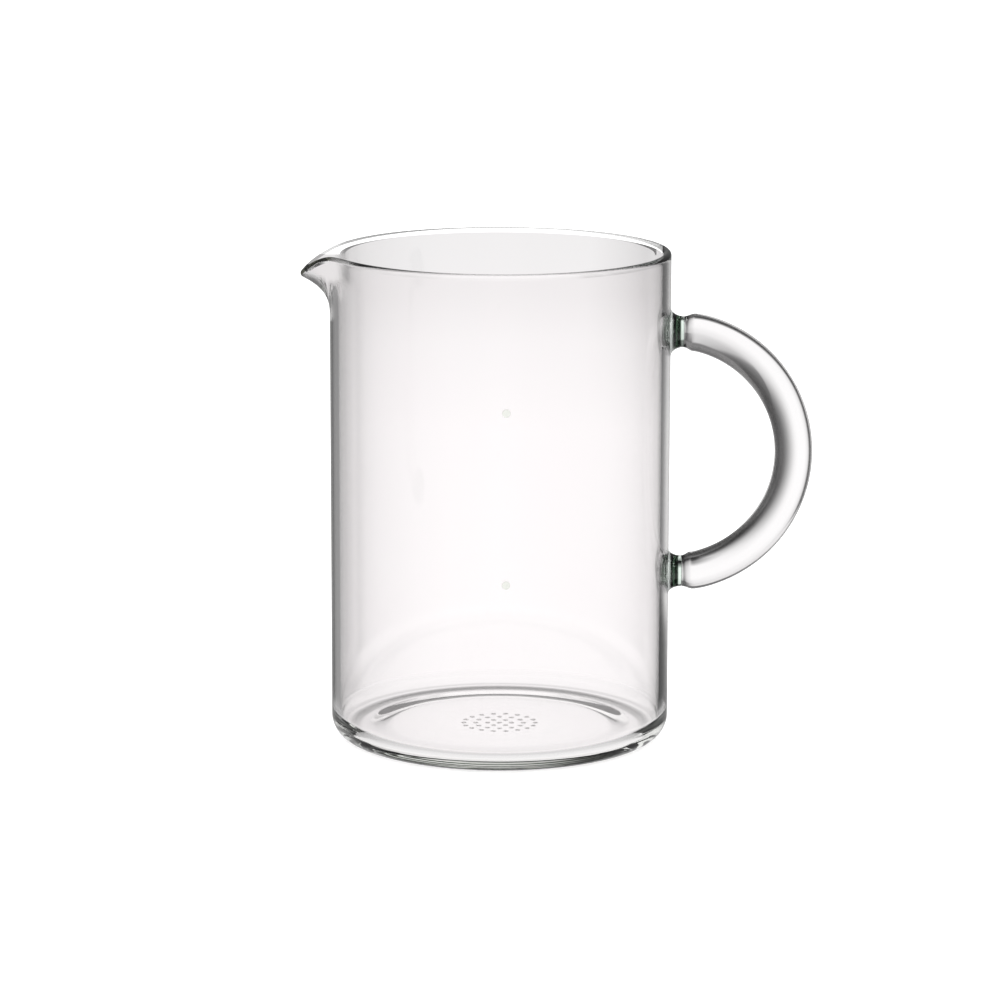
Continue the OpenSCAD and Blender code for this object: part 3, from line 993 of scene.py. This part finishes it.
class SERVER_OT_cards(ServerOperator):
    """Stands a bright card and a dark shade behind the server, and a glowing table sheet with a painted
    shadow ring under it, which show only through its glass
    """
    bl_idname = "coffee_server.cards"
    bl_label = "Cards"

    def execute(self, context):
        studio = context.scene.server_studio
        self.back_card(studio)
        self.handle_shade(studio)
        self.table_glow(studio)
        return {"FINISHED"}

    def card(self, name, low, high, place, looks):
        """A card that is kept out of the direct view and out of the light on the floor"""
        material, t = bare_material(name)
        rays = t.add("ShaderNodeLightPath").outputs
        # 1 for what is seen through the glass, 0 for the light that falls on the floor
        through = t.minus(1.0, t.least(rays["Diffuse Depth"], 1.0))
        t.surface(looks(t, *t.split(t.place()), rays["Transmission Depth"], through))
        sheet = flat_sheet(name, low, high, place, material)
        for ray in ("camera", "diffuse", "glossy", "shadow", "volume_scatter"):
            setattr(sheet, "visible_" + ray, False)

    def lit_or_clear(self, t, light, share):
        """Shines where its share is 1 and is see-through where it is 0"""
        glow = t.out("ShaderNodeEmission", {"Strength": light})
        return t.out("ShaderNodeMixShader", {0: share, 1: t.out("ShaderNodeBsdfTransparent"), 2: glow})

    def back_card(self, studio):
        left, right = CARD_SIDE[0][0], CARD_SIDE[-1][0]
        bottom, top = CARD_LIGHT[0][0], CARD_LIGHT[-1][0]

        def looks(t, x, y, z, faces, through):
            rod = t.is_less(faces, FACES_BETWEEN)
            upward = t.calc("POWER", t.along(z, CARD_LIGHT), t.between(x, *CARD_CORNER))
            low_power = t.mix(rod, t.between(x, *LOW_WALL), t.between(x, *LOW_ROD))
            downward = t.calc("POWER", t.along(z, CARD_LOW), low_power)
            beside_rod = t.times(rod, t.is_less(z, ROD_CARD_TOP))
            side = t.mix(beside_rod, t.along(x, CARD_SIDE), t.along(x, ROD_CARD_SIDE))
            to_edge = t.least(t.minus(x, left), t.minus(right, x), t.minus(z, bottom), t.minus(top, z))
            share = t.times(t.between(to_edge, 0.0, CARD_FADE), through)
            return self.lit_or_clear(t, t.times(side, upward, downward, studio.card_light), share)

        distance = studio.card_distance
        self.card("back_card", (left, bottom), (right, top), lambda x, z: (x, distance, z), looks)

    def handle_shade(self, studio):
        reach = SHADE_LIGHT[-1][0]
        middle = studio.shade_height

        def looks(t, x, y, z, faces, through):
            off_x = t.minus(x, BODY_R)
            off_z = t.minus(z, middle)
            light = t.along(t.distance(t.times(off_x, SHADE_NARROW), off_z), SHADE_LIGHT)
            beside = t.between(off_x, 0.0, SHADE_START, 1.0, 0.0)
            above = t.between(off_z, *SHADE_TOP)
            spared = t.most(t.is_more(faces, FACES_BETWEEN), t.minus(1.0, through))
            return t.out("ShaderNodeBsdfTransparent", {"Color": t.most(light, beside, above, spared)})

        low, high = (BODY_R, middle - reach), (BODY_R + reach, middle + reach)
        distance = studio.shade_distance
        self.card("handle_shade", low, high, lambda x, z: (x, distance, z), looks)

    def table_glow(self, studio):
        reach = TABLE_BACK[-1][0]

        def looks(t, x, y, z, faces, through):
            away = t.distance(x, y)
            at_back = t.between(y, -TABLE_MIDDLE, TABLE_MIDDLE)
            # Painted shadow: the dark ring under the foot ring of the glowing sheet
            light = t.mix(at_back, t.along(away, TABLE_FRONT), t.along(away, TABLE_BACK))
            share = t.times(t.between(away, TABLE_EDGE, reach, 1.0, 0.0), through)
            return self.lit_or_clear(t, t.times(light, t.along(x, CARD_SIDE), studio.card_light), share)

        self.card("table_glow_painted_shadow", (-reach, -reach), (reach, reach), lambda x, y: (x, y, TABLE_Z), looks)


# Bounces of light in the glass and between mirrors
GLASS_BOUNCES, MIRROR_BOUNCES = 24, 12
# Half the width of the floor, its grains per metre, and how uneven its tone is
FLOOR_REACH, FLOOR_GRAIN, FLOOR_UNEVEN = 6.0, 400.0, 0.01


class SERVER_OT_stage(ServerOperator):
    """Lays the pale floor and sets the camera and its view"""
    bl_idname = "coffee_server.stage"
    bl_label = "Stage"

    def execute(self, context):
        studio = context.scene.server_studio
        self.floor(studio)
        self.camera(context, studio)
        context.scene.view_settings.view_transform = "Standard"
        cycles = context.scene.cycles
        cycles.max_bounces = GLASS_BOUNCES
        cycles.transmission_bounces = GLASS_BOUNCES
        cycles.glossy_bounces = MIRROR_BOUNCES
        cycles.transparent_max_bounces = GLASS_BOUNCES
        return {"FINISHED"}

    def floor(self, studio):
        material, t = bare_material("pale_floor")
        tones = (studio.floor_tone - FLOOR_UNEVEN, studio.floor_tone + FLOOR_UNEVEN)
        tone = t.between(t.noise(t.place(), FLOOR_GRAIN, 2.0), 0.0, 1.0, *tones)
        paint = t.out("ShaderNodeBsdfDiffuse", {"Color": tone})
        glow = t.out("ShaderNodeEmission", {"Strength": studio.floor_glow})
        t.surface(t.out("ShaderNodeAddShader", {0: paint, 1: glow}))
        low, high = (-FLOOR_REACH, -FLOOR_REACH), (FLOOR_REACH, FLOOR_REACH)
        floor = flat_sheet("studio_floor", low, high, lambda x, y: (x, y, 0), material)
        floor.visible_transmission = False
        floor.visible_glossy = False

    def camera(self, context, studio):
        data = bpy.data.cameras.new("photo_view")
        data.sensor_width = 36.0
        data.lens = studio.camera_lens
        data.clip_start = 0.01
        data.clip_end = 50.0
        camera = link("photo_view", data)
        camera.location = (0.0, -studio.camera_distance, studio.camera_height)
        camera.rotation_euler = (math.pi / 2 - studio.camera_pitch, 0.0, 0.0)
        camera.rotation_euler.rotate_axis("Z", studio.camera_roll)
        context.scene.camera = camera


class SERVER_PT_panel(bpy.types.Panel):
    """Lists the steps that dress the server"""
    bl_label = "Coffee server"
    bl_idname = "SERVER_PT_panel"
    bl_space_type = "VIEW_3D"
    bl_region_type = "UI"
    bl_category = "Server"

    def draw(self, context):
        for step in STEPS:
            self.layout.operator(step.bl_idname)
        for name in SETTINGS:
            group = getattr(context.scene, name)
            box = self.layout.box()
            for key in group.bl_rna.properties.keys():
                if key not in ("rna_type", "name"):
                    box.prop(group, key)


SETTINGS = {
    "server_vessel": VesselSizes,
    "server_handle": HandleSizes,
    "server_marks": MarkSizes,
    "server_finish": ServerFinish,
    "server_studio": StudioSizes,
}
STEPS = (
    SERVER_OT_vessel,
    SERVER_OT_handle,
    SERVER_OT_welds,
    SERVER_OT_level_marks,
    SERVER_OT_base_dots,
    SERVER_OT_room,
    SERVER_OT_cards,
    SERVER_OT_stage,
)
CLASSES = (*SETTINGS.values(), *STEPS, SERVER_PT_panel)


def register():
    for kind in CLASSES:
        bpy.utils.register_class(kind)
    for name, group in SETTINGS.items():
        setattr(bpy.types.Scene, name, PointerProperty(type=group))


def unregister():
    for name in SETTINGS:
        delattr(bpy.types.Scene, name)
    for kind in reversed(CLASSES):
        bpy.utils.unregister_class(kind)


def main():
    register()
    bpy.ops.coffee_server.vessel()
    bpy.ops.coffee_server.handle()
    bpy.ops.coffee_server.welds()
    bpy.ops.coffee_server.level_marks()
    bpy.ops.coffee_server.base_dots()
    bpy.ops.coffee_server.room()
    bpy.ops.coffee_server.cards()
    bpy.ops.coffee_server.stage()


if __name__ == "__main__":
    main()
